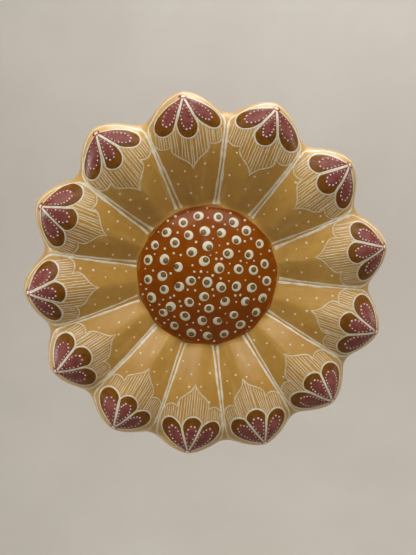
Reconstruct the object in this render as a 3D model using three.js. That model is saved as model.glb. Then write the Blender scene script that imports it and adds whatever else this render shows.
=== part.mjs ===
// A wall flower ornament: one shell of moulded clay with thirteen petals around a domed centre.
// Millimetres, +Z up. The wall is the plane Y = 0, the flower faces -Y and its axis is the Y axis.

import * as THREE from 'three';

// Driving sizes.
const across = 280;
const petalSpacing = 67.7;
const clay = 8;

// Plan of the flower, measured from its axis.
const tipRadius = across / 2;
const notchRadius = 0.885 * tipRadius;
const lowNotchGrowth = 0.05 * tipRadius;
const domeRadius = 0.377 * tipRadius;
const petals = Math.round((Math.PI * across) / petalSpacing);
const webShare = 0.12;

// Heights above the wall.
const domeTop = 0.218 * tipRadius;
const troughHeight = 0.118 * tipRadius;
const crestHeight = 0.3 * tipRadius;
const rimHeight = 0.079 * tipRadius;
const grooveDepth = 0.072 * tipRadius;

// Shares of the way from the dome to the outline, and the curves between them.
const crestShare = 0.745;
const grooveGrowth = 0.35;
const ridgeShare = 0.24;
const rimFullness = 2.2;

// The foot that lies on the wall, and the turn from the hollow's ceiling down to it.
const footTuck = 0.055 * tipRadius;
const footLand = 0.045 * tipRadius;
const hollowTurn = 0.075 * tipRadius;

// The petals were set by hand, so they stand a little wider apart on one side than on the other.
const firstPetal = THREE.MathUtils.degToRad(-7);
const unevenness = THREE.MathUtils.degToRad(4.4);

// Facets.
const stepsAcrossPetal = 10;
const domeSteps = 7;
const riseSteps = 8;
const rimSteps = 6;
const tuckSteps = 3;
const turnSteps = 4;
const ceilingSteps = 5;
const domeBackSteps = 3;

const quarterTurn = Math.PI / 2;

// The numbers 0 to 1 in equal steps, without the first.
function shares(count) {
  return Array.from({ length: count }, (_, index) => (index + 1) / count);
}

// Direction of a place in the ring of petals, clockwise from the top; petal 0 is at place 0.
function direction(place) {
  const pitch = (2 * Math.PI) / petals;
  const even = pitch * place;
  return firstPetal + even + unevenness * Math.sin(even - pitch / 2);
}

// How far a place is from its petal's middle line: 0 on the line, 1 in the groove beside it.
function offMiddle(place) {
  return 2 * Math.abs(place - Math.round(place));
}

// How low in the ring a place is: 0 at the top of the flower, 1 at the bottom.
function lowness(place) {
  return (1 - Math.cos((2 * Math.PI * (place - 0.5)) / petals)) / 2;
}

// A round petal end, with a small soft web where two petals meet. The lower petals are joined further out.
function outlineRadius(place) {
  const notch = notchRadius + lowNotchGrowth * lowness(place) ** 2;
  const soften = (value) => Math.hypot(value, webShare) - webShare;
  const swell = soften(Math.cos(quarterTurn * offMiddle(place))) / soften(1);
  return notch + (tipRadius - notch) * swell;
}

// A spherical cap that meets the trough at the dome's radius.
function domeHeight(radius) {
  const rise = domeTop - troughHeight;
  const sphere = (domeRadius ** 2 + rise ** 2) / (2 * rise);
  return domeTop - sphere + Math.sqrt(sphere ** 2 - radius ** 2);
}

// How far a petal has fallen from its middle line towards the groove: a blunt ridge with straight flanks.
function roof(off) {
  const fall = (value) => value - ridgeShare * Math.atan(value / ridgeShare);
  return fall(off) / fall(1);
}

// Front of a petal from the trough to its crest.
function petalHeight(radius, place) {
  const share = (radius - domeRadius) / (outlineRadius(place) - domeRadius);
  const climb = Math.min(share / crestShare, 1);
  const ridge = troughHeight + (crestHeight - troughHeight) * Math.sin(quarterTurn * climb);
  return ridge - grooveDepth * climb ** grooveGrowth * roof(offMiddle(place));
}

function domeFront() {
  const rings = shares(domeSteps).map((share) => {
    const radius = domeRadius * share;
    return [radius, domeHeight(radius)];
  });
  return [[0, domeTop], ...rings];
}

function petalFront(place) {
  return shares(riseSteps).map((share) => {
    const radius = domeRadius + (outlineRadius(place) - domeRadius) * crestShare * share;
    return [radius, petalHeight(radius, place)];
  });
}

// A full quarter curve that starts level at a ceiling and ends upright at its outer radius.
function shoulder(startRadius, endRadius, startHeight, endHeight, steps) {
  return shares(steps).map((share) => {
    const turn = quarterTurn * share;
    const out = Math.sin(turn) ** (2 / rimFullness);
    const down = share < 1 ? Math.cos(turn) ** (2 / rimFullness) : 0;
    return [startRadius + (endRadius - startRadius) * out, endHeight + (startHeight - endHeight) * down];
  });
}

function petalTip(place) {
  const outer = outlineRadius(place);
  const crest = domeRadius + (outer - domeRadius) * crestShare;
  return shoulder(crest, outer, petalHeight(crest, place), rimHeight, rimSteps);
}

// Underside of the rim, tucked in to the foot.
function rimUnderside(place) {
  const outer = outlineRadius(place);
  return shares(tuckSteps).map((share) => {
    const turn = quarterTurn * share;
    return [outer - footTuck * (1 - Math.cos(turn)), share < 1 ? rimHeight * (1 - Math.sin(turn)) : 0];
  });
}

// The open back: inner edge of the foot, up to the ceiling, and in to the dome's inside.
function hollow(place) {
  const edge = outlineRadius(place) - footTuck - footLand;
  const turn = edge - hollowTurn;
  const wall = shoulder(turn, edge, petalHeight(turn, place) - clay, 0, turnSteps).reverse();
  const ceiling = shares(ceilingSteps).map((share) => {
    const radius = turn + (domeRadius - turn) * share;
    return [radius, petalHeight(radius, place) - clay];
  });
  return [...wall, [turn, petalHeight(turn, place) - clay], ...ceiling];
}

function domeBack() {
  return shares(domeBackSteps).map((share) => {
    const radius = domeRadius * (1 - share);
    return [radius, domeHeight(radius) - clay];
  });
}

// Half section of the shell in one direction, from the axis in front round to the axis behind.
function section(place) {
  const front = [...domeFront(), ...petalFront(place), ...petalTip(place)];
  const back = [...rimUnderside(place), ...hollow(place), ...domeBack()];
  return [...front, ...back];
}

// Closed skin through all the half sections, with one shared point at each end of the axis.
function flowerGeometry() {
  const columns = petals * stepsAcrossPetal;
  const rows = section(0).length - 2;
  const points = [0, -domeTop, 0];
  for (let column = 0; column < columns; column += 1) {
    const place = column / stepsAcrossPetal;
    const angle = direction(place);
    for (const [radius, height] of section(place).slice(1, -1)) {
      points.push(radius * Math.sin(angle), -height, radius * Math.cos(angle));
    }
  }
  const back = points.length / 3;
  points.push(0, -(domeTop - clay), 0);

  const corner = (column, row) => 1 + (column % columns) * rows + row;
  const faces = [];
  for (let column = 0; column < columns; column += 1) {
    faces.push(0, corner(column + 1, 0), corner(column, 0));
    faces.push(back, corner(column, rows - 1), corner(column + 1, rows - 1));
    for (let row = 0; row < rows - 1; row += 1) {
      const [a, b] = [corner(column, row), corner(column + 1, row)];
      const [c, d] = [corner(column + 1, row + 1), corner(column, row + 1)];
      faces.push(a, b, c, a, c, d);
    }
  }
  const geometry = new THREE.BufferGeometry();
  geometry.setAttribute('position', new THREE.Float32BufferAttribute(points, 3));
  geometry.setIndex(faces);
  geometry.computeVertexNormals();
  return geometry;
}

function paintedClay() {
  return new THREE.MeshStandardMaterial({ color: 0xb98a4c, roughness: 0.42, metalness: 0 });
}

const flower = new THREE.Mesh(flowerGeometry(), paintedClay());
flower.name = 'clay_flower';

const group = new THREE.Group();
group.name = 'wall_flower';
group.add(flower);

export default group;
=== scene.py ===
"""The looks of a painted clay wall flower: the moulded shell, and the coats, strokes and dots of paint on it.

Lengths are millimetres until a mesh is made, when they become metres in the frame's own axes.
The wall is the plane y = 0, the flower faces -Y and its axis is the Y axis.
"""

import math

import bpy
import numpy as np
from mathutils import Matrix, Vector


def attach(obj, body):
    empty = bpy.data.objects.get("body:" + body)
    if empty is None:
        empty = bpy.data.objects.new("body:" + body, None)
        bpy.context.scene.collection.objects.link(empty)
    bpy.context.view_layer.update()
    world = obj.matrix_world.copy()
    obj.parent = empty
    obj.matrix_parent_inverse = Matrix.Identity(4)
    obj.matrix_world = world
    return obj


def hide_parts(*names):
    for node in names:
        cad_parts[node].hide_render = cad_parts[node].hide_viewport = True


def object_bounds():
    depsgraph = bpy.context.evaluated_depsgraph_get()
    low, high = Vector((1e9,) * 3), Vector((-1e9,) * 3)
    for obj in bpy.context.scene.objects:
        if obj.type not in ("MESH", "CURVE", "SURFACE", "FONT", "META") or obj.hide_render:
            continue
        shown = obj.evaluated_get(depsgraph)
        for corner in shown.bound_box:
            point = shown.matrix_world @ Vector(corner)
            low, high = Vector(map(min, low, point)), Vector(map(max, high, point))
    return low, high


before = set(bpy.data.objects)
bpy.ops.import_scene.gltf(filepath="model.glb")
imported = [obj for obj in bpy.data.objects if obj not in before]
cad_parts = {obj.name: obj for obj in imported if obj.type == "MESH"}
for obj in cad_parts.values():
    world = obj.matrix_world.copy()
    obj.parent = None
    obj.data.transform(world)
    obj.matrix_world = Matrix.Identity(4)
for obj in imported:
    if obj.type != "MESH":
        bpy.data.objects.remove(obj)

cad_low, cad_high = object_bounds()

MM = 0.001
BODY = "root"
NODE = "clay_flower"

# The shell's form, the same shares of its radius as the solid has.
DEPTH = (cad_high.y - cad_low.y) / MM
CREST_HEIGHT_SHARE = 0.3
TIP = DEPTH / CREST_HEIGHT_SHARE
NOTCH = 0.885 * TIP
LOW_NOTCH_GROWTH = 0.05 * TIP
DOME = 0.377 * TIP
WEB_SHARE = 0.12
DOME_TOP = 0.218 * TIP
TROUGH = 0.118 * TIP
CREST = CREST_HEIGHT_SHARE * TIP
RIM = 0.079 * TIP
GROOVE = 0.072 * TIP
CREST_SHARE = 0.745
GROOVE_GROWTH = 0.35
RIDGE_SHARE = 0.24
RIM_FULLNESS = 2.2
FOOT_TUCK = 0.055 * TIP
FOOT_LAND = 0.045 * TIP
HOLLOW_TURN = 0.075 * TIP
CLAY = 8.0

# The ring of petals.
PETALS = 13
PITCH = 2 * math.pi / PETALS
HALF_PETAL = PITCH / 2
FIRST_PETAL = math.radians(-7.0)
UNEVENNESS = math.radians(4.4)
PLACE_ROUNDS = 6

# Soft creases that the solid's facets leave out.
GROOVE_SOFTNESS = 0.1
DOME_CREASE = 0.9

# How uneven the hand-smoothed clay is, and its waves: radians for each millimetre of x and z, and the start.
HAND_WAVER = 0.22
QUICK_SHARE = 0.5
SLOW_WAVES = ((1 / 17, 0, 1.3), (0, 1 / 21, 0.4))
QUICK_WAVES = ((1 / 9, -1 / 13, 2.1), (1 / 15, 1 / 8, 0))

# The clay lies this far under the solid's skin, so that the paint on it stays inside.
PAINT_ROOM = 0.35

# How far to both sides of a point its slope is felt.
PROBE = 0.2
FINE_PROBE = 0.15

rng = np.random.default_rng(13)


def direction(place):
    """Angle of a place in the ring of petals, clockwise from the top. Petal 0 is at place 0."""
    even = PITCH * place
    return FIRST_PETAL + even + UNEVENNESS * np.sin(even - HALF_PETAL)


def place_at(angle):
    """The place whose direction is this angle."""
    even = angle - FIRST_PETAL
    for _ in range(PLACE_ROUNDS):
        even = angle - FIRST_PETAL - UNEVENNESS * np.sin(even - HALF_PETAL)
    return even / PITCH


def off_middle(place):
    """How far a place is from its petal's middle line: 0 on the line, 1 in the groove beside it."""
    sharp = 2 * np.abs(place - np.round(place))
    return np.clip(1 - (np.hypot(1 - sharp, GROOVE_SOFTNESS) - GROOVE_SOFTNESS), 0, 1)


def lowness(place):
    """How low in the ring a place is: 0 at the top of the flower, 1 at the bottom."""
    return (1 - np.cos(PITCH * (place - 0.5))) / 2


def outline_radius(place):
    """A round petal end, with a small soft web where two petals meet. Low petals are joined further out."""
    def soften(value):
        return np.hypot(value, WEB_SHARE) - WEB_SHARE
    notch = NOTCH + LOW_NOTCH_GROWTH * lowness(place) ** 2
    return notch + (TIP - notch) * soften(np.cos(math.pi / 2 * off_middle(place))) / soften(1)


def roof(off):
    """How far a petal has fallen from its middle line towards the groove, from 0 to 1."""
    def fall(value):
        return value - RIDGE_SHARE * np.arctan(value / RIDGE_SHARE)
    return fall(off) / fall(1)


def dome_height(radius):
    """A spherical cap that meets the trough at the dome's radius."""
    rise = DOME_TOP - TROUGH
    sphere = (DOME ** 2 + rise ** 2) / (2 * rise)
    return DOME_TOP - sphere + np.sqrt(np.maximum(sphere ** 2 - radius ** 2, 0))


def petal_height(radius, place):
    """Front of a petal from the trough to its crest."""
    share = (radius - DOME) / (outline_radius(place) - DOME)
    climb = np.clip(share / CREST_SHARE, 0, 1)
    ridge = TROUGH + (CREST - TROUGH) * np.sin(math.pi / 2 * np.minimum(share / CREST_SHARE, 1))
    return ridge - GROOVE * climb ** GROOVE_GROWTH * roof(off_middle(place))


def crossed(x, z, waves):
    """The product of two sine waves over the wall plane."""
    first, second = (np.sin(x * per_x + z * per_z + start) for per_x, per_z, start in waves)
    return first * second


def waver(x, z):
    """The slight unevenness of a hand-smoothed surface, just under the solid's skin."""
    return HAND_WAVER * (crossed(x, z, SLOW_WAVES) + QUICK_SHARE * crossed(x, z, QUICK_WAVES)) - PAINT_ROOM


def front_height(radius, place):
    """Height of the front over the wall, from the axis out to the rim."""
    outer = outline_radius(place)
    crest = DOME + (outer - DOME) * CREST_SHARE
    over = np.clip((radius - crest) / (outer - crest), 0, 1)
    fall = (1 - over ** RIM_FULLNESS) ** (1 / RIM_FULLNESS)
    petal = RIM + (petal_height(radius, place) - RIM) * fall
    dome = dome_height(radius)
    near = np.maximum(1 - np.abs(dome - petal) / (4 * DOME_CREASE), 0)
    joined = np.maximum(dome, petal) + DOME_CREASE * near ** 2
    angle = direction(place)
    return joined + fall * waver(radius * np.sin(angle), radius * np.cos(angle))


def height_over(x, z):
    """Height of the front over a point of the wall plane."""
    return front_height(np.hypot(x, z), place_at(np.arctan2(x, z)))


def slopes(x, z, probe):
    """How steeply the front rises along x and along z."""
    slope_x = (height_over(x + probe, z) - height_over(x - probe, z)) / (2 * probe)
    slope_z = (height_over(x, z + probe) - height_over(x, z - probe)) / (2 * probe)
    return slope_x, slope_z


def lifted(x, z, film):
    """Points of the front, raised along its normal by the film's thickness."""
    slope_x, slope_z = slopes(x, z, FINE_PROBE)
    out = film / np.sqrt(1 + slope_x ** 2 + slope_z ** 2)
    return np.stack([x - slope_x * out, -(height_over(x, z) + out), z - slope_z * out], axis=-1)


def on_petal(petal, along, aside):
    """Wall-plane x and z of a point drawn on a petal: along its middle line, and aside clockwise."""
    radius = np.hypot(along, aside)
    angle = direction(petal + np.arctan2(aside, along) / PITCH)
    return radius * np.sin(angle), radius * np.cos(angle)


# Meshes.
def grid_numbers(rows, columns, closed=False, first=0):
    """Point numbers of a grid, row by row. A closed grid has its first column once more at the end."""
    numbers = first + np.arange(rows * columns).reshape(rows, columns)
    return np.concatenate([numbers, numbers[:, :1]], axis=1) if closed else numbers


def quads_between(numbers):
    """The quads between the rows and columns of a grid of point numbers."""
    return np.stack([numbers[:-1, :-1], numbers[:-1, 1:], numbers[1:, 1:], numbers[1:, :-1]], axis=-1)


def fan(hub, ring):
    """Triangles from a hub to each two neighbours in a ring of point numbers."""
    return [[hub, int(here), int(there)] for here, there in zip(ring[:-1], ring[1:])]


class Mesh:
    """Gathers patches of surface and makes one object of them."""

    def __init__(self, name):
        self.name = name
        self.points = []
        self.faces = []
        self.slots = []
        self.count = 0

    def add(self, points, faces, slots=0):
        """Adds points and faces over them. The slots say which material the faces have, one by one or all."""
        self.faces += [[self.count + corner for corner in face] for face in faces]
        self.slots += np.broadcast_to(slots, len(faces)).tolist()
        self.points.append(points.reshape(-1, 3))
        self.count += points.size // 3

    def grid(self, points, closed=False):
        """Adds quads between the rows and columns of a grid of points, facing away from the wall."""
        quads = quads_between(grid_numbers(*points.shape[:2], closed)).reshape(-1, 4)
        corners = points.reshape(-1, 3)[quads[len(quads) // 2]]
        facing = np.cross(corners[2] - corners[0], corners[3] - corners[1])
        if facing[1] > 0:
            quads = quads[:, ::-1]
        self.add(points, quads.tolist())

    def build(self, materials, replaces=None):
        mesh = bpy.data.meshes.new(self.name)
        mesh.from_pydata((np.concatenate(self.points) * MM).tolist(), [], self.faces)
        for material in materials:
            mesh.materials.append(material)
        mesh.polygons.foreach_set("material_index", self.slots)
        mesh.shade_smooth()
        piece = bpy.data.objects.new(self.name, mesh)
        bpy.context.scene.collection.objects.link(piece)
        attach(piece, BODY)
        if replaces:
            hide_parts(replaces)


# The moulded shell.
COLUMNS_PER_PETAL = 40
DOME_ROWS = 26
PETAL_ROWS = 40
TIP_ROWS = 22
TUCK_ROWS = 7
TURN_ROWS = 9
CEILING_ROWS = 16
DOME_BACK_ROWS = 10
ROW_GATHERING = 1.6
PAINTED_SLOT = 0
BARE_SLOT = 1


def shares(count):
    """The numbers 0 to 1 in equal steps, without the first."""
    return (np.arange(count) + 1) / count


def gathered(share):
    """Even shares moved closer together towards 1, to follow a crease there."""
    return 1 - (1 - share) ** ROW_GATHERING


def shell_rows(place):
    """Radius and height of every row of the shell at these places, from the front round to the back."""
    outer = outline_radius(place)
    crest = DOME + (outer - DOME) * CREST_SHARE
    front = [np.full_like(place, DOME * gathered(share)) for share in shares(DOME_ROWS)]
    front += [DOME + (crest - DOME) * share ** ROW_GATHERING for share in shares(PETAL_ROWS)]
    front += [crest + (outer - crest) * math.sin(math.pi / 2 * share) ** (2 / RIM_FULLNESS)
              for share in shares(TIP_ROWS)]
    rows = [(radius, front_height(radius, place)) for radius in front]
    for share in shares(TUCK_ROWS):
        turn = math.pi / 2 * share
        height = RIM * (1 - math.sin(turn))
        rows.append((outer - FOOT_TUCK * (1 - math.cos(turn)), np.full_like(place, height)))
    painted_rows = len(rows)
    edge = outer - FOOT_TUCK - FOOT_LAND
    turn_start = edge - HOLLOW_TURN
    turn_top = petal_height(turn_start, place) - CLAY
    rows.append((edge, np.zeros_like(place)))
    for share in shares(TURN_ROWS):
        turn = math.pi / 2 * (1 - share)
        out = math.sin(turn) ** (2 / RIM_FULLNESS)
        rise = math.cos(turn) ** (2 / RIM_FULLNESS)
        rows.append((turn_start + HOLLOW_TURN * out, turn_top * rise))
    for share in shares(CEILING_ROWS):
        radius = turn_start + (DOME - turn_start) * share
        rows.append((radius, petal_height(radius, place) - CLAY))
    for share in shares(DOME_BACK_ROWS)[:-1]:
        radius = np.full_like(place, DOME * (1 - share))
        rows.append((radius, dome_height(radius) - CLAY))
    return rows, painted_rows


def make_shell(materials):
    """The closed shell: its rows all round, with one point on the axis in front and one behind."""
    place = np.arange(PETALS * COLUMNS_PER_PETAL) / COLUMNS_PER_PETAL
    rows, painted_rows = shell_rows(place)
    radius, height = (np.array(values) for values in zip(*rows))
    angle = direction(place)
    skin = np.stack([radius * np.sin(angle), -height, radius * np.cos(angle)], axis=-1).reshape(-1, 3)
    front_middle = [0, -float(front_height(np.array(0.0), np.array(0.0))), 0]
    back_middle = [0, -(DOME_TOP - CLAY), 0]
    points = np.concatenate([[front_middle], skin, [back_middle]])
    numbers = grid_numbers(len(rows), len(place), closed=True, first=1)
    quads = quads_between(numbers)[..., [0, 3, 2, 1]]
    cut = painted_rows - 1
    painted = fan(0, numbers[0]) + quads[:cut].reshape(-1, 4).tolist()
    bare = quads[cut:].reshape(-1, 4).tolist() + fan(len(points) - 1, numbers[-1][::-1])
    shell = Mesh("clay_shell")
    shell.add(points, painted + bare, [PAINTED_SLOT] * len(painted) + [BARE_SLOT] * len(bare))
    shell.build(materials, NODE)


# Paint: how thick each coat lies, and how far its edges sink so that no gap shows under them.
SUNK = 0.06
COAT = 0.08
THIN = 0.10
THICK = 0.16
OVER_BROWN = 0.04
OVER_BLOB = 0.06


def ripple(count, reach, amount):
    """A gentle random wave of this many values, one swing for each reach of them."""
    knots = rng.normal(0, amount, int(count / reach) + 4)
    at = np.linspace(0, len(knots) - 1, count)
    before = np.floor(at).astype(int).clip(0, len(knots) - 2)
    blend = at - before
    blend = blend * blend * (3 - 2 * blend)
    return knots[before] * (1 - blend) + knots[before + 1] * blend


def eased(count):
    """The numbers 0 to 1, closer together at both ends."""
    return (1 - np.cos(np.linspace(0, math.pi, count))) / 2


FEWEST_STEPS = 4
BEZIER_POINTS = 30


def resampled(line, step):
    """The same line through evenly spaced points."""
    gaps = np.hypot(*np.diff(line, axis=0).T)
    travelled = np.concatenate([[0], np.cumsum(gaps)])
    at = np.linspace(0, travelled[-1], max(int(travelled[-1] / step), FEWEST_STEPS) + 1)
    return np.stack([np.interp(at, travelled, line[:, 0]), np.interp(at, travelled, line[:, 1])], axis=-1)


def bezier(*controls):
    """A cubic curve through its first and last point, drawn towards the two between them."""
    t = np.linspace(0, 1, BEZIER_POINTS)[:, None]
    a, b, c, d = (np.array(point) for point in controls)
    return a * (1 - t) ** 3 + 3 * b * t * (1 - t) ** 2 + 3 * c * t * t * (1 - t) + d * t ** 3


# A brush stroke: its section, how fast its tips taper, and how the hand sways and presses along it.
STROKE_ACROSS = np.array([-0.5, -0.3, 0.3, 0.5])
STROKE_RAISED = np.array([False, True, True, False])
TIP_TAPER = 16
SWAY_REACH = 7
SWAY = 0.1
PRESS_REACH = 5
MOST_UNEVEN = 0.4

# Whether a stroke on steep clay keeps its width as seen from the front, at 0, or along the clay, at 1.
STEEP_SHRINK = 0.65


def slope_across(petal, line, side):
    """How steep the front is to the side of each point of a line drawn on a petal."""
    there, back = line + side * PROBE, line - side * PROBE
    rise = height_over(*on_petal(petal, *there.T)) - height_over(*on_petal(petal, *back.T))
    return rise / (2 * PROBE)


def stroke(mesh, petal, line, width, film, step=1.2, start=0.35, end=0.35, uneven=0.12):
    """One brush stroke along a line drawn on a petal; start and end are the tips' shares of its width."""
    line = resampled(line, step)
    count = len(line)
    onward = np.gradient(line, axis=0)
    onward /= np.linalg.norm(onward, axis=1)[:, None]
    side = np.stack([-onward[:, 1], onward[:, 0]], axis=-1)
    line = line + side * ripple(count, SWAY_REACH, SWAY)[:, None]
    run = np.linspace(0, 1, count)
    tips = (1 + (start - 1) * np.exp(-run * TIP_TAPER)) * (1 + (end - 1) * np.exp(-(1 - run) * TIP_TAPER))
    widths = width * tips * (1 + ripple(count, PRESS_REACH, uneven).clip(-MOST_UNEVEN, MOST_UNEVEN))
    widths /= (1 + slope_across(petal, line, side) ** 2) ** (STEEP_SHRINK / 2)
    spots = line[:, None, :] + side[:, None, :] * (STROKE_ACROSS * widths[:, None])[..., None]
    x, z = on_petal(petal, spots[..., 0], spots[..., 1])
    mesh.grid(lifted(x, z, np.broadcast_to(np.where(STROKE_RAISED, film, -SUNK), x.shape)))


# Dots of thick paint: their profiles as shares of the radius, and how much of a half ball each one is.
DOT_PROFILE = (1, 0.8, 0.45)
TINY_PROFILE = (1, 0.65)
DOT_ROUNDNESS = 0.96
DOT_HEIGHT = 0.3
LEVEL = 1e-6


def dab(mesh, x, z, radius, height, sides=10, profile=DOT_PROFILE, ovalness=0.0, base=0.0):
    """A round dot of thick paint on the front, at a point of the wall plane."""
    turn = 2 * math.pi * np.arange(sides) / sides
    lean = rng.uniform(0, math.pi)
    reach = radius * (1 + ovalness * np.cos(2 * (turn - lean)))
    slope = np.array([float(part) for part in slopes(x, z, PROBE)])
    steep = math.hypot(*slope)
    fall = slope / max(steep, LEVEL)
    edge = np.stack([np.cos(turn), np.sin(turn)], axis=-1) * reach[:, None]
    shrink = 1 - 1 / math.sqrt(1 + steep ** 2)
    edge = edge - (edge @ fall)[:, None] * fall * shrink
    around = np.concatenate([edge * share for share in profile] + [np.zeros((1, 2))])
    film = base + height * np.sqrt(1 - DOT_ROUNDNESS * np.array([*profile, 0]) ** 2)
    film[0] = base - SUNK
    raised = np.append(np.repeat(film[:-1], sides), film[-1])
    numbers = grid_numbers(len(profile), sides, closed=True)
    faces = quads_between(numbers).reshape(-1, 4).tolist() + fan(len(raised) - 1, numbers[-1])
    mesh.add(lifted(x + around[:, 0], z + around[:, 1], raised), faces)


# The drops on a petal. Lengths and half widths are shares of the flower's radius.
TIP_DOT = 0.952
DROP_LENGTH = 0.213
DROP_HALF_WIDTH = 0.05
LOW_DROP_SWELL = 0.12
SIDE_DROP_STRETCH = 1.05
MIDDLE_SWELL = 1.13
DROP_FAN = math.radians(42)
DROP_POINTEDNESS = 1.05
STROKE_SHARE = 0.25
PLUM_LENGTH = 0.8
SIDE_PLUM_WIDTH = 0.7
MIDDLE_PLUM_WIDTH = 0.63
PLUM_MARGIN = 0.8

# How much the painter's hand varies a drop.
DROP_TURN = math.radians(2.0)
LENGTH_RANGE = (0.95, 1.06)
WIDTH_RANGE = (0.92, 1.08)
PLUM_LENGTH_RANGE = (0.94, 1.04)
PLUM_WIDTH_RANGE = (0.94, 1.06)

# How finely a drop is drawn, and how near its filling's last full column comes to the edge.
DROP_LINE_POINTS = 40
DROP_ROWS = 30
DROP_COLUMNS = 14
DROP_FULL = 0.94

# The lines' widths, and how much the hand varies the wider two.
LINE = 1.75
LINE_RANGE = (0.9, 1.15)
LINE_START_RANGE = (0.8, 1.7)
LINE_END = 0.9
LINE_UNEVENNESS = 0.2
DROP_LINE = 1.5
DROP_LINE_RANGE = (0.9, 1.1)
DROP_LINE_TIPS = 0.5
FINE_LINE = 1.2
HATCH_LINE = 0.88


def teardrop(share, half_width):
    """Half width of a teardrop at shares of the way from its point to its round end."""
    def swell(value):
        return value ** DROP_POINTEDNESS * np.sqrt(1 - value)
    widest = DROP_POINTEDNESS / (DROP_POINTEDNESS + 0.5)
    return half_width * swell(np.clip(share, 0, 1)) / swell(widest)


class Drop:
    """A teardrop painted on a petal, with its point at the petal's tip and its round end inwards.

    Where it would meet the drop beside it, it stops short of the line midway between the two.
    """

    def __init__(self, petal, number, lean, length, half_width, margin):
        self.petal = petal
        self.number = number
        self.lean = lean
        self.inward = np.array([-math.cos(lean), math.sin(lean)])
        self.aside = np.array([math.sin(lean), math.cos(lean)])
        self.root = np.array([TIP_DOT * TIP, 0])
        self.length = length
        self.half_width = half_width
        self.margin = margin

    def half(self, share, side):
        """Half width on one side, at shares of the way from the point to the round end."""
        free = teardrop(share, self.half_width)
        if abs(self.number + side) > 1:
            return free
        middle = ((self.number + side / 2) * DROP_FAN - self.lean) * side
        return np.minimum(free, np.maximum(share * self.length * math.tan(middle) - self.margin, 0))

    def spots(self, along, aside):
        """Petal drawing points from distances along and aside of the drop's own middle line."""
        return self.root + along[..., None] * self.inward + aside[..., None] * self.aside

    def holds(self, spots):
        """Which of these petal drawing points lie in the drop."""
        local = spots - self.root
        share = local @ self.inward / self.length
        aside = local @ self.aside
        inside = (aside < self.half(share, 1)) & (-aside < self.half(share, -1))
        return inside & (share > 0) & (share < 1)

    def outline(self):
        """The line round the drop, from its point down one side and back up the other."""
        share = eased(DROP_LINE_POINTS)
        there = self.spots(share * self.length, self.half(share, 1))
        back = self.spots(share * self.length, -self.half(share, -1))[::-1]
        return np.concatenate([there, back[1:]])

    def fill(self, mesh, film):
        """Paints the whole drop, with edges that sink into the clay."""
        share = eased(DROP_ROWS)
        across = np.concatenate([[-1], np.linspace(-DROP_FULL, DROP_FULL, DROP_COLUMNS), [1]])
        half = np.where(across > 0, self.half(share, 1)[:, None], self.half(share, -1)[:, None])
        spots = self.spots((share * self.length)[:, None] + 0 * across, half * across)
        x, z = on_petal(self.petal, spots[..., 0], spots[..., 1])
        raised = np.full(x.shape, film)
        raised[:, [0, -1]] = -SUNK
        raised[[0, -1], :] = -SUNK
        mesh.grid(lifted(x, z, raised))


def petal_drops(petal):
    """The three drops of one petal, each a little off its ideal place, and the plum drop inside each."""
    drops = []
    for number in (-1, 0, 1):
        lean = number * DROP_FAN + rng.normal(0, DROP_TURN)
        length = DROP_LENGTH * TIP * rng.uniform(*LENGTH_RANGE) * (SIDE_DROP_STRETCH if number else 1)
        width = DROP_HALF_WIDTH * TIP * rng.uniform(*WIDTH_RANGE) * (1 if number else MIDDLE_SWELL)
        width *= 1 + LOW_DROP_SWELL * lowness(petal)
        brown = Drop(petal, number, lean, length, width, STROKE_SHARE * DROP_LINE)
        plum_length = PLUM_LENGTH * length * rng.uniform(*PLUM_LENGTH_RANGE)
        plum_share = SIDE_PLUM_WIDTH if number else MIDDLE_PLUM_WIDTH
        plum_width = width * plum_share * rng.uniform(*PLUM_WIDTH_RANGE)
        drops.append((brown, Drop(petal, number, lean, plum_length, plum_width, PLUM_MARGIN)))
    return drops


# The dots inside a plum drop: from and to where along it, how far in from its edge, their radii and strays.
FIRST_DOT = 0.27
LAST_DOT = 0.95
DOT_INSET = 1.35
LEAST_ASIDE = 0.3
DOT_LINE_POINTS = 60
DROP_DOT_SPACING = (2.2, 2.9)
DROP_DOT_RADII = (0.38, 0.7)
DROP_DOT_RANGE = (0.85, 1.15)
DROP_DOT_STRAY = 0.13
DROP_DOT_HEIGHT = 0.28
DROP_DOT_SIDES = 8


def drop_dots(mesh, drop):
    """Tiny white dots set along both sides of a plum drop, largest at its round end."""
    spacing = rng.uniform(*DROP_DOT_SPACING)
    for side in (-1, 1):
        share = np.linspace(FIRST_DOT, LAST_DOT, DOT_LINE_POINTS)
        inset = np.maximum(drop.half(share, side) - DOT_INSET, LEAST_ASIDE)
        line = resampled(drop.spots(share * drop.length, side * inset), spacing)
        radii = np.linspace(*DROP_DOT_RADII, len(line)) * rng.uniform(*DROP_DOT_RANGE, len(line))
        for (along, aside), radius in zip(line + rng.normal(0, DROP_DOT_STRAY, line.shape), radii):
            x, z = on_petal(drop.petal, along, aside)
            dab(mesh, x, z, radius, DROP_DOT_HEIGHT, DROP_DOT_SIDES, TINY_PROFILE, base=THICK)


# The line round a petal: how far in from the outline and the groove it runs, and where it turns.
OUTLINE_INSET = 3.0
CORNER_INSET_GROWTH = 0.9
CORNER_OFF = 0.84
GROOVE_START = 1.025 * DOME
GROOVE_START_RANGE = (0.99, 1.03)
GROOVE_END = 0.79 * TIP
GROOVE_GAP_IN = 1.9
GAP_IN_RANGE = (0.7, 1.3)
GROOVE_GAP_OUT = 0.85
GAP_OUT_RANGE = (0.8, 1.2)
GROOVE_PULL = 0.05 * TIP
RIM_PULL = 0.02 * TIP
GROOVE_POINTS = 30
RIM_POINTS = 40


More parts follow.
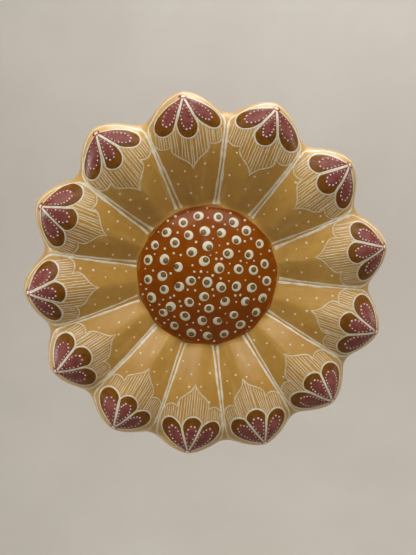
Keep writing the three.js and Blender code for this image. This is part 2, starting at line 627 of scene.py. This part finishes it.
def petal_edge(petal, side):
    """The line round one side of a petal: out along the groove, round the corner and over to the tip."""
    groove = np.array([math.cos(HALF_PETAL), math.sin(HALF_PETAL)])
    inwards = np.array([math.sin(HALF_PETAL), -math.cos(HALF_PETAL)])
    first = GROOVE_START * rng.uniform(*GROOVE_START_RANGE)
    wide = GROOVE_GAP_IN * rng.uniform(*GAP_IN_RANGE)
    close = GROOVE_GAP_OUT * rng.uniform(*GAP_OUT_RANGE)
    share = np.linspace(0, 1, GROOVE_POINTS)[:, None]
    gap = wide + (close - wide) * np.sqrt(share)
    beside = groove * (first + (GROOVE_END - first) * share) + inwards * gap
    off = np.linspace(CORNER_OFF, 0, RIM_POINTS)
    inset = OUTLINE_INSET * (1 + CORNER_INSET_GROWTH * off ** 4)
    reach = outline_radius(petal + side * off / 2) - inset
    rim = np.stack([reach * np.cos(off * HALF_PETAL), reach * np.sin(off * HALF_PETAL)], axis=-1)
    onward = (rim[0] - rim[1]) / np.linalg.norm(rim[0] - rim[1])
    corner = bezier(beside[-1], beside[-1] + groove * GROOVE_PULL, rim[0] + onward * RIM_PULL, rim[0])
    return np.concatenate([beside, corner[1:-1], rim]) * np.array([1, side])


# The hatched field, in shares of the flower's radius: first along the petal, then aside.
BAY_START = (0.8, 0.18)
BAY_OUT = (0.7, 0.19)
BAY_IN = (0.675, 0.125)
BAY_END = (0.71, 0.088)
SPIRE_SHOULDER = (0.65, 0.115)
SPIRE_WAIST = (0.64, 0.01)
SPIRE_POINT = (0.578, 0.0)
SPIRE_SHIFT = 0.8

# Its hatching: the spacing, the hand's strays, and where the lines start and stop.
BAY_HATCH_SPACING = 1.7
SPIRE_HATCH_SPACING = (1.75, 2.1)
HATCH_STRAY = 0.12
HATCH_LEAN = 0.02
HATCH_SHIFT = 0.5
HATCH_GAP = (0.2, 1.2)
HATCH_STEP = 0.5
HATCH_RIM_INSET = 2 * OUTLINE_INSET
HATCH_OFF = 0.93
FEWEST_HATCH_STEPS = 4
HATCH_STROKE_STEP = 1.8
HATCH_END = 0.5


def scallop():
    """Half of the line round the hatched field: one round bay, then up to the spire's point."""
    bay = bezier(BAY_START, BAY_OUT, BAY_IN, BAY_END)
    spire = bezier(BAY_END, SPIRE_SHOULDER, SPIRE_WAIST, SPIRE_POINT)
    return bay * TIP, spire * TIP


def field_start(aside):
    """How far along a petal the hatched field starts, this far aside of the middle line."""
    bay, spire = scallop()
    edge = np.concatenate([spire[::-1], bay[::-1]])
    return np.interp(abs(aside), edge[:, 1], edge[:, 0])


def hatch_lines(petal, drops, spire_shift):
    """Lines side by side along the petal, from the scalloped edge up to the drops or the rim."""
    bay, spire = scallop()
    spire_side = BAY_END[1] * TIP
    middle = np.arange(-spire_side, spire_side, rng.uniform(*SPIRE_HATCH_SPACING))
    outside = np.arange(spire_side, max(bay[:, 1].max(), spire[:, 1].max()), BAY_HATCH_SPACING)
    lines = []
    for aside in np.concatenate([-outside[::-1], middle, outside]):
        aside += rng.normal(0, HATCH_STRAY)
        low = field_start(aside) + rng.uniform(*HATCH_GAP)
        along = np.arange(low, TIP, HATCH_STEP)
        lean = rng.normal(0, HATCH_LEAN)
        spots = np.stack([along, aside + spire_shift * HATCH_SHIFT + (along - low) * lean], axis=-1)
        turn = np.arctan2(spots[:, 1], spots[:, 0])
        rim = outline_radius(petal + turn / PITCH) - HATCH_RIM_INSET
        stop = (np.hypot(spots[:, 0], spots[:, 1]) > rim) | (np.abs(turn) / HALF_PETAL > HATCH_OFF)
        for drop in drops:
            stop |= drop.holds(spots)
        free = np.argmax(stop) if stop.any() else len(spots)
        if free > FEWEST_HATCH_STEPS:
            lines.append(spots[:free])
    return lines


# The dots scattered over the bare part of a petal.
PETAL_DOTS = (8, 12)
PETAL_DOT_TRIES = 400
PETAL_DOT_REACH = (1.16 * DOME, 0.8 * TIP)
PETAL_DOT_OFF = 0.72
PETAL_DOT_RADII = (0.75, 1.15)
PETAL_DOT_SPACING = 8.5
PETAL_DOT_SIDES = 9
FIELD_CLEARANCE = 4


def petal_dots(mesh, petal):
    """Small pale dots scattered over the bare part of a petal."""
    placed = []
    wanted = rng.integers(*PETAL_DOTS)
    for _ in range(PETAL_DOT_TRIES):
        radius = rng.uniform(*PETAL_DOT_REACH)
        turn = rng.uniform(-PETAL_DOT_OFF, PETAL_DOT_OFF) * HALF_PETAL
        spot = np.array([radius * math.cos(turn), radius * math.sin(turn)])
        in_field = spot[0] > field_start(spot[1]) - FIELD_CLEARANCE
        crowded = any(np.hypot(*(spot - other)) < PETAL_DOT_SPACING for other in placed)
        if in_field or crowded:
            continue
        placed.append(spot)
        x, z = on_petal(petal, *spot)
        dab(mesh, x, z, rng.uniform(*PETAL_DOT_RADII), DOT_HEIGHT, PETAL_DOT_SIDES, TINY_PROFILE)
        if len(placed) == wanted:
            break


# The rust blob at a petal's tip, and the white dot on it.
TIP_STRAY = 0.3
BLOB_RADIUS = 3.1
BLOB_HEIGHT = 0.12
BLOB_SIDES = 14
BLOB_OVALNESS = 0.12
TIP_DOT_RADIUS = 1.55
TIP_DOT_HEIGHT = 0.45
TIP_DOT_SIDES = 12


def petal_tip(layers, petal):
    """The blob and the dot at a petal's tip."""
    x, z = on_petal(petal, TIP_DOT * TIP, rng.normal(0, TIP_STRAY))
    dab(layers["tip_blobs"], x, z, BLOB_RADIUS, BLOB_HEIGHT, BLOB_SIDES, ovalness=BLOB_OVALNESS, base=THICK)
    dab(layers["tip_dots"], x, z, TIP_DOT_RADIUS, TIP_DOT_HEIGHT, TIP_DOT_SIDES, base=THICK + OVER_BLOB)


def paint_petal(layers, petal):
    """All that is painted on one petal."""
    drops = petal_drops(petal)
    for brown, plum in drops:
        brown.fill(layers["brown_drops"], THIN)
        plum.fill(layers["plum_drops"], THIN + OVER_BROWN)
        stroke(layers["drop_edges"], petal, brown.outline(), DROP_LINE * rng.uniform(*DROP_LINE_RANGE), THICK,
               start=DROP_LINE_TIPS, end=DROP_LINE_TIPS)
        drop_dots(layers["drop_dots"], plum)
    shift = rng.normal(0, SPIRE_SHIFT)
    for side in (1, -1):
        edge = petal_edge(petal, side)
        stroke(layers["petal_lines"], petal, edge, LINE * rng.uniform(*LINE_RANGE), THIN,
               start=rng.uniform(*LINE_START_RANGE), end=LINE_END, uneven=LINE_UNEVENNESS)
        bay, spire = (half * np.array([1, side]) for half in scallop())
        stroke(layers["field_lines"], petal, bay, FINE_LINE, THIN)
        bend = np.array([0, shift]) * np.linspace(0, 1, len(spire))[:, None]
        stroke(layers["field_lines"], petal, spire + bend, FINE_LINE, THIN)
    for line in hatch_lines(petal, [brown for brown, _ in drops], shift):
        stroke(layers["hatching"], petal, line, HATCH_LINE, COAT, step=HATCH_STROKE_STEP, end=HATCH_END)
    petal_dots(layers["petal_dots"], petal)
    petal_tip(layers, petal)


# The dome's coat: its size as a share of the dome's radius, and its edge's waves: size, count and start.
COAT_COLUMNS = 260
COAT_ROWS = 36
COAT_REACH = 1.015
COAT_HUB = 0.02
COAT_WAVES = ((0.007, 13, 0.7), (0.004, 5, 2), (0.003, 19, 0))

# The dome's spots: how many stand in each ring, and the ring's share of the dome's radius.
SPOT_RINGS = ((1, 0.05), (5, 0.23), (10, 0.44), (17, 0.66), (21, 0.865))
SPOT_TURN_STRAY = 0.07
SPOT_STRAY = 0.7
SPOT_RADIUS = 3.75
SPOT_RANGE = (0.9, 1.08)
SPOT_HEIGHT = 0.35
SPOT_SIDES = 26
SPOT_PROFILE = (1, 0.93, 0.8, 0.5, 0.25)
SPOT_OVALNESS = 0.05

# The olive eye on each spot, a little off its middle, and the umber ring that shows round it.
EYE_RADIUS = 1.85
EYE_STRAYS = (0.3, 0.8, 1.3)
EYE_SHARE = 0.85
EYE_SHIFT = 0.15
EYE_HEIGHT = 0.25
EYE_SIDES = 18
EYE_PROFILE = (1, 0.85, 0.45)
RING_WIDTH = 0.3
RING_HEIGHT = 0.1
RING_SEAT = 0.9

# The small dots between the spots.
SMALL_DOTS = 92
SMALL_DOT_RADII = (0.6, 1.15)
SMALL_DOT_REACH = 0.975
SMALL_DOT_CLEARANCE = 1.0
SMALL_DOT_SPACING = 2.4
SMALL_DOT_TRIES = 24


def dome_coat(mesh):
    """The burnt orange coat over the dome, with a hand-cut edge."""
    turn = 2 * math.pi * np.arange(COAT_COLUMNS) / COAT_COLUMNS
    wave = sum(size * np.sin(count * turn + start) for size, count, start in COAT_WAVES)
    share = gathered(np.linspace(0, 1, COAT_ROWS))[:, None]
    radius = DOME * (COAT_REACH + wave) * (COAT_HUB + (1 - COAT_HUB) * share)
    raised = np.full(radius.shape, COAT)
    raised[-1] = -SUNK
    mesh.grid(lifted(radius * np.sin(turn), radius * np.cos(turn), raised), closed=True)
    cap = lifted(radius[0] * np.sin(turn), radius[0] * np.cos(turn), raised[0])
    top = lifted(np.zeros(1), np.zeros(1), np.full(1, COAT))
    ring = grid_numbers(1, COAT_COLUMNS, closed=True)[0]
    mesh.add(np.concatenate([cap, top]), fan(COAT_COLUMNS, ring[::-1]))


def dome_spots():
    """Places for the dome's spots, in rings that the painter's hand has loosened."""
    spots = []
    for count, share in SPOT_RINGS:
        first = rng.uniform(0, 2 * math.pi)
        for number in range(count):
            turn = first + 2 * math.pi * (number + rng.normal(0, SPOT_TURN_STRAY)) / count
            radius = DOME * share + rng.normal(0, SPOT_STRAY)
            spots.append((radius * math.sin(turn), radius * math.cos(turn)))
    return spots


def between(spots):
    """Places on the dome between the spots, each the freest of a few taken at random."""
    taken = [(*spot, SPOT_RADIUS + SMALL_DOT_CLEARANCE) for spot in spots]
    found = []
    for _ in range(SMALL_DOTS):
        radius = DOME * SMALL_DOT_REACH * np.sqrt(rng.uniform(size=SMALL_DOT_TRIES))
        turn = rng.uniform(0, 2 * math.pi, SMALL_DOT_TRIES)
        x, z = radius * np.sin(turn), radius * np.cos(turn)
        room = np.min([np.hypot(x - a, z - b) - around for a, b, around in taken], axis=0)
        best = int(np.argmax(room))
        if room[best] > 0:
            found.append((float(x[best]), float(z[best])))
            taken.append((*found[-1], SMALL_DOT_SPACING))
    return found


def paint_spot(layers, x, z):
    """One cream spot with its eye."""
    size = rng.uniform(*SPOT_RANGE)
    dab(layers["dome_spots"], x, z, SPOT_RADIUS * size, SPOT_HEIGHT, SPOT_SIDES, SPOT_PROFILE,
        ovalness=SPOT_OVALNESS, base=COAT)
    turn = rng.uniform(0, 2 * math.pi)
    stray = rng.choice(EYE_STRAYS)
    ring_x, ring_z = x + stray * math.sin(turn), z + stray * math.cos(turn)
    dab(layers["spot_rings"], ring_x, ring_z, (EYE_RADIUS + RING_WIDTH) * size, RING_HEIGHT, EYE_SIDES,
        EYE_PROFILE, base=COAT + SPOT_HEIGHT * RING_SEAT)
    dab(layers["spot_eyes"], ring_x + EYE_SHIFT, ring_z - EYE_SHIFT, EYE_RADIUS * EYE_SHARE * size,
        EYE_HEIGHT, EYE_SIDES, EYE_PROFILE, base=COAT + SPOT_HEIGHT)


def paint_dome(layers):
    """All that is painted on the dome."""
    dome_coat(layers["dome_coat"])
    spots = dome_spots()
    for x, z in spots:
        paint_spot(layers, x, z)
    for x, z in between(spots):
        dab(layers["dome_dots"], x, z, rng.uniform(*SMALL_DOT_RADII), DOT_HEIGHT, base=COAT)


# Materials.
def srgb(red, green, blue):
    """A colour given in the usual 0 to 255 steps, as the linear numbers that shaders use."""
    def linear(value):
        value /= 255
        return value / 12.92 if value <= 0.04045 else ((value + 0.055) / 1.055) ** 2.4
    return (linear(red), linear(green), linear(blue), 1)


class Look:
    """One procedural material, built up node by node over the object's own coordinates."""

    def __init__(self, name, coat=0.0, shine=0.5, coat_roughness=0.24):
        self.material = bpy.data.materials.new(name)
        self.material.use_nodes = True
        self.tree = self.material.node_tree
        self.shader = self.tree.nodes["Principled BSDF"]
        self.shader.inputs["Specular IOR Level"].default_value = shine
        self.shader.inputs["Coat Weight"].default_value = coat
        self.shader.inputs["Coat Roughness"].default_value = coat_roughness
        self.place = self.tree.nodes.new("ShaderNodeTexCoord").outputs["Object"]

    def noise(self, per_metre, detail=3.0, roughness=0.55):
        """Cloudy noise, with this many swells in a metre."""
        node = self.tree.nodes.new("ShaderNodeTexNoise")
        node.inputs["Scale"].default_value = per_metre
        node.inputs["Detail"].default_value = detail
        node.inputs["Roughness"].default_value = roughness
        self.tree.links.new(self.place, node.inputs["Vector"])
        return node.outputs["Fac"]

    def brushed(self, along, around):
        """Noise drawn out along the petals: its sizes per metre of radius, and round the flower."""
        outwards = self.tree.nodes.new("ShaderNodeVectorMath")
        outwards.operation = "NORMALIZE"
        self.tree.links.new(self.on_wall(), outwards.inputs[0])
        ring = self.tree.nodes.new("ShaderNodeVectorMath")
        ring.operation = "SCALE"
        ring.inputs["Scale"].default_value = around
        self.tree.links.new(outwards.outputs[0], ring.inputs[0])
        reach = self.tree.nodes.new("ShaderNodeVectorMath")
        reach.operation = "MULTIPLY_ADD"
        reach.inputs[1].default_value = (0, along, 0)
        self.tree.links.new(self.axis_distance(), reach.inputs[0])
        self.tree.links.new(ring.outputs[0], reach.inputs[2])
        node = self.tree.nodes.new("ShaderNodeTexNoise")
        node.inputs["Scale"].default_value = 1.0
        node.inputs["Detail"].default_value = 3.0
        self.tree.links.new(reach.outputs[0], node.inputs["Vector"])
        return node.outputs["Fac"]

    def ranged(self, value, low, high, to_low, to_high):
        """A value carried from one range over to another, and held at its ends."""
        node = self.tree.nodes.new("ShaderNodeMapRange")
        for name, number in (("From Min", low), ("From Max", high), ("To Min", to_low), ("To Max", to_high)):
            node.inputs[name].default_value = number
        self.tree.links.new(value, node.inputs["Value"])
        return node.outputs["Result"]

    def mix(self, amount, first, second):
        node = self.tree.nodes.new("ShaderNodeMix")
        node.data_type = "RGBA"
        self.tree.links.new(amount, node.inputs["Factor"])
        for socket, colour in ((node.inputs[6], first), (node.inputs[7], second)):
            if isinstance(colour, tuple):
                socket.default_value = colour
            else:
                self.tree.links.new(colour, socket)
        return node.outputs[2]

    def over(self, ground, colour, pattern, low, high, strength=1):
        """Lays a colour over the ground as a pattern goes from low to high, up to this strength."""
        return self.mix(self.ranged(pattern, low, high, 0, strength), ground, colour)

    def on_wall(self):
        """The place as seen from the front, without its depth."""
        split = self.tree.nodes.new("ShaderNodeVectorMath")
        split.operation = "MULTIPLY"
        split.inputs[1].default_value = (1, 0, 1)
        self.tree.links.new(self.place, split.inputs[0])
        return split.outputs[0]

    def axis_distance(self):
        """Distance from the flower's axis, in metres."""
        length = self.tree.nodes.new("ShaderNodeVectorMath")
        length.operation = "LENGTH"
        self.tree.links.new(self.on_wall(), length.inputs[0])
        return length.outputs["Value"]

    def finish(self, colour, roughness, bump, bump_mm):
        """Joins the colour, the roughness and a fine bump to the shader."""
        self.tree.links.new(colour, self.shader.inputs["Base Color"])
        self.tree.links.new(roughness, self.shader.inputs["Roughness"])
        node = self.tree.nodes.new("ShaderNodeBump")
        node.inputs["Distance"].default_value = bump_mm * MM
        node.inputs["Strength"].default_value = 1.0
        self.tree.links.new(bump, node.inputs["Height"])
        self.tree.links.new(node.outputs["Normal"], self.shader.inputs["Normal"])
        return self.material


def ochre_slip():
    """The varnished ochre ground: deeper towards the dome, paler at the rim, faintly brushed with pale
    streaks that are partly brush marks and partly a painted sheen.
    """
    ochre, pale_ochre = srgb(187, 141, 62), srgb(204, 160, 80)
    grain, smear_and_sheen = srgb(174, 126, 52), srgb(217, 181, 106)
    shade, rim = srgb(160, 112, 44), srgb(227, 191, 136)
    rim_start, rim_end = 0.72 * TIP * MM, TIP * MM
    look = Look("ochre_slip", coat=0.14, shine=0.3)
    ground = look.over(ochre, pale_ochre, look.noise(14, 4), low=0.35, high=0.68)
    ground = look.over(ground, grain, look.noise(160, 5), low=0.4, high=0.75, strength=0.35)
    # Pale streaks along the petals: partly brush marks, partly a painted sheen that stands in for soft
    # highlights.
    ground = look.over(ground, smear_and_sheen, look.brushed(38, 11), low=0.55, high=0.72, strength=0.4)
    ground = look.over(ground, shade, look.brushed(30, 7), low=0.42, high=0.28, strength=0.3)
    ground = look.over(ground, rim, look.axis_distance(), rim_start, rim_end, strength=0.55)
    rough = look.ranged(look.noise(60, 4), 0.3, 0.7, to_low=0.34, to_high=0.5)
    return look.finish(ground, rough, look.noise(380, 4), bump_mm=0.05)


def bare_clay():
    """The unpainted back, dull and slightly sandy."""
    clay, pale_clay, grit = srgb(176, 112, 72), srgb(196, 134, 92), srgb(148, 92, 62)
    look = Look("bare_clay")
    ground = look.over(clay, pale_clay, look.noise(22, 4), low=0.35, high=0.68)
    ground = look.over(ground, grit, look.noise(900, 3), low=0.6, high=0.72, strength=0.6)
    rough = look.ranged(look.noise(200, 3), 0.3, 0.7, to_low=0.74, to_high=0.9)
    return look.finish(ground, rough, look.noise(500, 6, 0.7), bump_mm=0.25)


def paint(name, dark, light, scale, rough=(0.3, 0.46), coat=0.2, bump_mm=0.03, shine=0.4, polish=0.24):
    """A brushed paint under varnish, streaked between a darker and a lighter tone."""
    look = Look(name, coat, shine, polish)
    colour = look.over(srgb(*dark), srgb(*light), look.noise(scale, 4), low=0.36, high=0.66)
    roughness = look.ranged(look.noise(scale / 2, 3), 0.3, 0.7, *rough)
    return look.finish(colour, roughness, look.noise(700, 3), bump_mm)


def paints():
    """The paint of each layer: its darker and lighter tone, its streaks to the metre, and its gloss."""
    matt = {"coat": 0.05, "shine": 0.15}
    return {
        "dome_coat": paint("burnt_orange", (138, 67, 0), (153, 78, 0), 90, coat=0.14, shine=0.1, polish=0.1),
        "dome_spots": paint("cream_spots", (224, 218, 188), (240, 235, 214), 300, bump_mm=0.05),
        "spot_rings": paint("umber_rings", (92, 66, 28), (112, 84, 40), 400),
        "spot_eyes": paint("olive_eyes", (120, 91, 36), (142, 112, 54), 400),
        "dome_dots": paint("cream_dots", (220, 212, 184), (236, 230, 210), 300),
        "drop_edges": paint("cream_edges", (214, 206, 182), (234, 228, 208), 250),
        "brown_drops": paint("brown_drops_paint", (112, 66, 12), (134, 84, 20), 200, **matt),
        "plum_drops": paint("plum_drops_paint", (124, 65, 59), (148, 86, 77), 220, **matt),
        "drop_dots": paint("white_dots", (228, 214, 200), (242, 234, 222), 500),
        "petal_dots": paint("pale_dots", (228, 208, 160), (242, 226, 186), 400),
        "tip_blobs": paint("rust_blobs", (150, 62, 12), (176, 82, 22), 300),
        "tip_dots": paint("white_tips", (232, 226, 212), (246, 242, 234), 400),
        "petal_lines": paint("cream_lines", (222, 210, 180), (240, 232, 210), 260),
        "field_lines": paint("field_cream", (208, 190, 152), (228, 214, 184), 260),
        "hatching": paint("hatch_cream", (218, 198, 160), (234, 218, 188), 260),
    }


def make_paint():
    """Every painted layer, each kind of paint as one object."""
    looks = paints()
    layers = {name: Mesh(name) for name in looks}
    for petal in range(PETALS):
        paint_petal(layers, petal)
    paint_dome(layers)
    for name, mesh in layers.items():
        mesh.build([looks[name]])


# The picture, in metres from here on: the camera's direction from the flower, and what it looks at.
AZIMUTH = math.radians(-2.7)
ELEVATION = math.radians(6.4)
DISTANCE = 0.6
AIM = (0.0005, -0.015, -0.0016)
SENSOR_MM = 36.0
IMAGE_HEIGHT = 555
PIXELS_PER_METRE = 1305

# The sweep, a round floor that curves up at its edge.
FLOOR = -1.0
SWEEP_REACH = 2.6
SWEEP_BEND = 1.0
SWEEP_TOP = 1.5
SWEEP_COLUMNS = 96
BEND_POINTS = 16

# The lights: name, place, what it shines at, size, power and colour.
WARM = (1, 0.98, 0.95)
WHITE = (1, 1, 1)
FLOWER = (0, 0, 0)
BACKDROP = (0.2, 1.8, -1.0)
LIGHTS = (
    ("overhead_left", (-0.35, -0.6, 1.04), FLOWER, 0.75, 7.5, WARM),
    ("overhead_right", (0.4, -0.6, 1.04), FLOWER, 0.75, 6.9, WARM),
    ("front", (0.02, -1.1, 0.52), FLOWER, 0.1, 0.5, WHITE),
    ("rim_left", (-1.0, -0.01, 0.0), FLOWER, 0.2, 3.4, WHITE),
    ("rim_right", (1.0, -0.01, 0.15), FLOWER, 0.2, 1.3, WHITE),
    ("backdrop_light", (0.35, 1.0, 1.6), BACKDROP, 1.5, 34, WHITE),
)

# The faint light that comes from everywhere.
FILL_TONE = (226, 214, 198)
FILL_STRENGTH = 0.01


def make_camera():
    camera = bpy.data.cameras.new("camera")
    holder = bpy.data.objects.new("camera", camera)
    bpy.context.scene.collection.objects.link(holder)
    back = Vector((math.sin(AZIMUTH) * math.cos(ELEVATION), -math.cos(AZIMUTH) * math.cos(ELEVATION),
                   math.sin(ELEVATION)))
    holder.location = Vector(AIM) + back * DISTANCE
    holder.rotation_mode = "QUATERNION"
    holder.rotation_quaternion = (-back).to_track_quat("-Z", "Y")
    camera.sensor_width = SENSOR_MM
    camera.lens = PIXELS_PER_METRE * DISTANCE * SENSOR_MM / IMAGE_HEIGHT
    bpy.context.scene.camera = holder


def soft_light(name, place, target, size, power, colour):
    light = bpy.data.lights.new(name, "AREA")
    light.shape = "DISK"
    light.size = size
    light.energy = power
    light.color = colour
    holder = bpy.data.objects.new(name, light)
    holder.location = place
    holder.rotation_mode = "QUATERNION"
    holder.rotation_quaternion = (Vector(target) - Vector(place)).to_track_quat("-Z", "Y")
    bpy.context.scene.collection.objects.link(holder)


def sweep():
    """A plain pale floor that curves up far away, all round the object."""
    profile = [(SWEEP_REACH - SWEEP_BEND, FLOOR)]
    for turn in np.linspace(0, math.pi / 2, BEND_POINTS)[1:]:
        radius = SWEEP_REACH - SWEEP_BEND + SWEEP_BEND * math.sin(turn)
        profile.append((radius, FLOOR + SWEEP_BEND * (1 - math.cos(turn))))
    profile.append((SWEEP_REACH, SWEEP_TOP))
    turns = 2 * math.pi * np.arange(SWEEP_COLUMNS) / SWEEP_COLUMNS
    rings = [(radius * math.sin(turn), radius * math.cos(turn), z) for radius, z in profile for turn in turns]
    numbers = grid_numbers(len(profile), SWEEP_COLUMNS, closed=True, first=1)
    quads = quads_between(numbers).reshape(-1, 4).tolist()
    mesh = bpy.data.meshes.new("floor")
    mesh.from_pydata([(0, 0, FLOOR), *rings], [], quads + fan(0, numbers[0][::-1]))
    mesh.shade_smooth()
    mesh.materials.append(paint("floor_paint", (209, 203, 193), (214, 208, 199), 3, rough=(0.8, 0.9), coat=0))
    floor = bpy.data.objects.new("floor", mesh)
    bpy.context.scene.collection.objects.link(floor)


def make_studio():
    sweep()
    world = bpy.data.worlds.new("studio")
    world.use_nodes = True
    world.node_tree.nodes["Background"].inputs["Color"].default_value = srgb(*FILL_TONE)
    world.node_tree.nodes["Background"].inputs["Strength"].default_value = FILL_STRENGTH
    bpy.context.scene.world = world
    bpy.context.scene.view_settings.view_transform = "Standard"
    for light in LIGHTS:
        soft_light(*light)


make_shell([ochre_slip(), bare_clay()])
make_paint()
make_camera()
make_studio()
